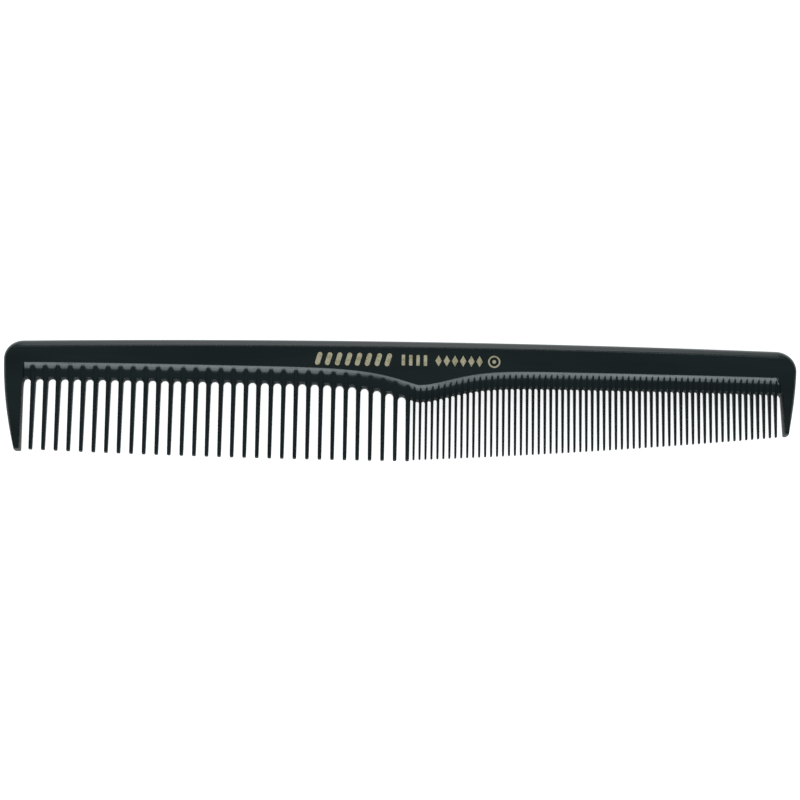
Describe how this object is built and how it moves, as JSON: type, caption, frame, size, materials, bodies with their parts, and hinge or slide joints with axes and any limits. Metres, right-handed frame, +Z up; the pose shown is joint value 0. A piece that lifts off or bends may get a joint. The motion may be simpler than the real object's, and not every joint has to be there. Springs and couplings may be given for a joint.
{
  "type": "hair comb",
  "caption": "Black moulded styling comb with a thick back, end guards, and a coarse half and a fine half of teeth.",
  "frame": {"origin": "middle of the comb's footprint on the surface that its underside lies on", "axes": "+X along the comb towards the fine teeth, +Y towards its back, +Z up through its thickness"},
  "size_m": [0.1841, 0.0282, 0.0044],
  "materials": {
    "acetal": "moulded black acetal, polished",
    "foil": "hot-stamped gold foil"
  },
  "bodies": {
    "root": {"back_spine": "acetal", "coarse_end_guard": "acetal", "fine_end_guard": "acetal", "coarse_root_web": "acetal", "fine_root_web": "acetal", "coarse_tooth_01": "acetal", "coarse_tooth_02": "acetal", "coarse_tooth_03": "acetal", "coarse_tooth_04": "acetal", "coarse_tooth_05": "acetal", "coarse_tooth_06": "acetal", "coarse_tooth_07": "acetal", "coarse_tooth_08": "acetal", "coarse_tooth_09": "acetal", "coarse_tooth_10": "acetal", "coarse_tooth_11": "acetal", "coarse_tooth_12": "acetal", "coarse_tooth_13": "acetal", "coarse_tooth_14": "acetal", "coarse_tooth_15": "acetal", "coarse_tooth_16": "acetal", "coarse_tooth_17": "acetal", "coarse_tooth_18": "acetal", "coarse_tooth_19": "acetal", "coarse_tooth_20": "acetal", "coarse_tooth_21": "acetal", "coarse_tooth_22": "acetal", "coarse_tooth_23": "acetal", "coarse_tooth_24": "acetal", "coarse_tooth_25": "acetal", "coarse_tooth_26": "acetal", "coarse_tooth_27": "acetal", "coarse_tooth_28": "acetal", "coarse_tooth_29": "acetal", "coarse_tooth_30": "acetal", "coarse_tooth_31": "acetal", "fine_teeth": "acetal", "foil_slashes": "foil", "foil_bars": "foil", "foil_lozenges": "foil", "foil_ring": "foil"}
  },
  "joints": []
}
